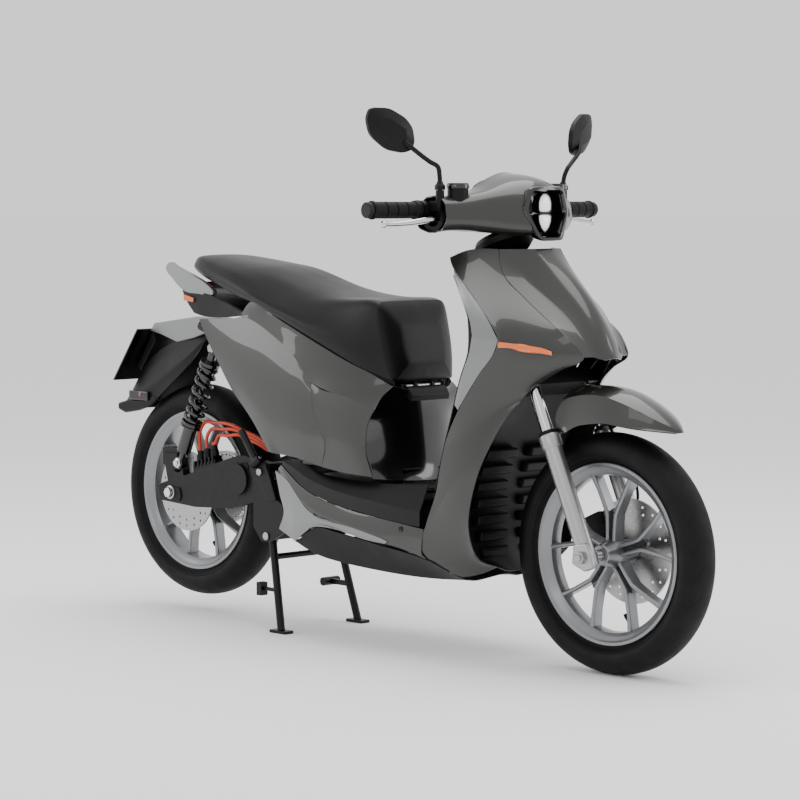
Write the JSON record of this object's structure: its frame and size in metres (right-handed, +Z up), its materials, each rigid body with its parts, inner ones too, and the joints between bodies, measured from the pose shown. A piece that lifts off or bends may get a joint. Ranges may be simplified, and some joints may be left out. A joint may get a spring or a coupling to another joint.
{
  "type": "moped scooter",
  "caption": "Electric moped scooter with large cast wheels, step-through floor, stepped seat, handlebar with levers and mirrors, swingarm drive and centre stand.",
  "frame": {"origin": "on the ground, midway between the axles in the plane of symmetry, which is the centre of the outline seen from above", "axes": "+X forward, +Y to the rider's left, +Z up"},
  "size_m": [1.792, 0.7032, 1.168],
  "materials": {
    "painted_body": "satin metallic graphite",
    "silver_paint": "satin silver",
    "black_plastic": "moulded, fine grain",
    "gloss_black": "gloss",
    "frame_black": "powder coat",
    "cast_grey": "dark cast, painted",
    "wheel_silver": "painted cast alloy",
    "fork_silver": "satin cast alloy",
    "chrome": "polished",
    "steel": "brushed",
    "tyre": "rubber",
    "rubber": "moulded rubber",
    "seat_vinyl": "grained vinyl",
    "amber_lens": "clear amber",
    "red_lens": "clear red",
    "lamp_glass": "clear over white reflectors",
    "orange_cable": "orange sheath",
    "battery_case": "extruded case"
  },
  "bodies": {
    "chassis": {"frame": "frame_black", "battery_pack": "battery_case", "controller": "cast_grey", "nose_panel": "painted_body", "leg_shields": "painted_body", "silver_accents": "silver_paint", "amber_lenses": "amber_lens", "inner_leg_shield": "black_plastic", "front_grille": "black_plastic", "floorboard": "rubber", "side_skirts": "painted_body", "belly_pan": "black_plastic", "side_panels": "painted_body", "underseat_cover": "gloss_black", "storage_tub": "black_plastic", "tail_panel": "black_plastic", "grab_rails": "silver_paint", "red_lenses": "red_lens", "rear_mudguard": "black_plastic", "body_fasteners": "steel"},
    "steering": {"steering_stem": "frame_black", "stanchions": "chrome", "handlebar": "frame_black", "handlebar_cover": "painted_body", "headlamp": "lamp_glass", "neck_boot": "black_plastic", "control_pods": "black_plastic", "left_grip": "rubber", "front_fender": "painted_body"},
    "fork_lower": {"fork_sliders": "fork_silver", "front_axle": "steel", "front_caliper": "cast_grey"},
    "front_wheel": {"front_rim": "wheel_silver", "front_tyre": "tyre", "front_disc": "steel"},
    "throttle": {"throttle_grip": "rubber"},
    "brake_right": {"brake_lever_right": "chrome"},
    "brake_left": {"brake_lever_left": "chrome"},
    "mirror_right": {"mirror_right": "black_plastic"},
    "mirror_left": {"mirror_left": "black_plastic"},
    "seat": {"seat_cushion": "seat_vinyl", "seat_pan": "black_plastic"},
    "swingarm": {"swingarm": "cast_grey", "drive_motor": "cast_grey", "motor_cables": "orange_cable", "rear_caliper": "cast_grey", "chain": "steel"},
    "rear_wheel": {"rear_rim": "wheel_silver", "rear_tyre": "tyre", "rear_disc": "steel", "rear_sprocket": "steel"},
    "drive_sprocket": {"drive_sprocket": "steel"},
    "shock_upper": {"shock_uppers": "gloss_black", "shock_springs": "gloss_black"},
    "shock_lower": {"shock_lowers": "gloss_black"},
    "centre_stand": {"centre_stand": "frame_black"},
    "peg_right": {"peg_right": "cast_grey"},
    "peg_left": {"peg_left": "cast_grey"},
    "start_button": {"start_button": "black_plastic"},
    "horn_button": {"horn_button": "black_plastic"}
  },
  "joints": [
    {"name": "steering_turn", "type": "hinge", "parent": "chassis", "child": "steering", "pos_m": [0.41423, 0, 0.69557], "axis": [-0.4067, 0, 0.9135], "range_deg": [-40, 40]},
    {"name": "fork_travel", "type": "slide", "parent": "steering", "child": "fork_lower", "axis": [-0.4067, 0, 0.9135], "range_m": [0, 0.08], "stiffness_N_per_m": 8000, "springref_m": -0.035},
    {"name": "front_wheel_spin", "type": "hinge", "parent": "fork_lower", "child": "front_wheel", "pos_m": [0.645, 0, 0.251], "axis": [0, 1, 0], "continuous": true},
    {"name": "throttle_twist", "type": "hinge", "parent": "steering", "child": "throttle", "pos_m": [0.27267, -0.3, 0.95684], "axis": [0.1045, 0.9945, 0], "range_deg": [0, 70], "stiffness_Nm_per_rad": 0.25, "springref_deg": -11.46},
    {"name": "brake_right_pull", "type": "hinge", "parent": "steering", "child": "brake_right", "pos_m": [0.32286, -0.165, 0.937], "axis": [0, 0, -1], "range_deg": [0, 12], "stiffness_Nm_per_rad": 12, "springref_deg": -3.44},
    {"name": "brake_left_pull", "type": "hinge", "parent": "steering", "child": "brake_left", "pos_m": [0.32286, 0.165, 0.937], "axis": [0, 0, 1], "range_deg": [0, 12], "stiffness_Nm_per_rad": 12, "springref_deg": -3.44},
    {"name": "mirror_right_turn", "type": "hinge", "parent": "steering", "child": "mirror_right", "pos_m": [0.324, -0.19, 0.99], "axis": [0, 0, 1], "range_deg": [-25, 25]},
    {"name": "mirror_left_turn", "type": "hinge", "parent": "steering", "child": "mirror_left", "pos_m": [0.324, 0.19, 0.99], "axis": [0, 0, 1], "range_deg": [-25, 25]},
    {"name": "seat_lift", "type": "hinge", "parent": "chassis", "child": "seat", "pos_m": [0.082, 0, 0.572], "axis": [0, 1, 0], "range_deg": [0, 60]},
    {"name": "swingarm_travel", "type": "hinge", "parent": "chassis", "child": "swingarm", "pos_m": [-0.315, 0, 0.362], "axis": [0, 1, 0], "range_deg": [0, 11], "stiffness_Nm_per_rad": 2400, "springref_deg": -2.29},
    {"name": "rear_wheel_spin", "type": "hinge", "parent": "swingarm", "child": "rear_wheel", "pos_m": [-0.645, 0, 0.2905], "axis": [0, 1, 0], "continuous": true},
    {"name": "drive_sprocket_spin", "type": "hinge", "parent": "swingarm", "child": "drive_sprocket", "pos_m": [-0.44, 0, 0.324], "axis": [0, 1, 0], "continuous": true},
    {"name": "shock_lean", "type": "hinge", "parent": "chassis", "child": "shock_upper", "pos_m": [-0.497, 0, 0.636], "axis": [0, 1, 0], "range_deg": [0, 4.67]},
    {"name": "shock_stroke", "type": "slide", "parent": "shock_upper", "child": "shock_lower", "axis": [0.4138, 0, 0.9104], "range_m": [0, 0.05585], "deforming": ["shock_springs"]},
    {"name": "stand_fold", "type": "hinge", "parent": "chassis", "child": "centre_stand", "pos_m": [-0.3, 0, 0.216], "axis": [0, 1, 0], "range_deg": [0, 80]},
    {"name": "peg_right_fold", "type": "hinge", "parent": "chassis", "child": "peg_right", "pos_m": [-0.32, -0.131, 0.386], "axis": [0.8, 0, 0.6], "range_deg": [0, 90]},
    {"name": "peg_left_fold", "type": "hinge", "parent": "chassis", "child": "peg_left", "pos_m": [-0.32, 0.131, 0.386], "axis": [-0.8, 0, -0.6], "range_deg": [0, 90]},
    {"name": "start_button_press", "type": "slide", "parent": "steering", "child": "start_button", "axis": [1, 0, 0], "range_m": [0, 0.002], "stiffness_N_per_m": 600, "springref_m": -0.001},
    {"name": "horn_button_press", "type": "slide", "parent": "steering", "child": "horn_button", "axis": [1, 0, 0], "range_m": [0, 0.002], "stiffness_N_per_m": 600, "springref_m": -0.001}
  ],
  "couplings": [
    {"joint": "shock_lean", "follows": "swingarm_travel", "ratio": 0.40674},
    {"joint": "shock_stroke", "follows": "swingarm_travel", "m_per_rad": 0.28568},
    {"joint": "drive_sprocket_spin", "follows": "rear_wheel_spin", "ratio": 3.0769}
  ]
}
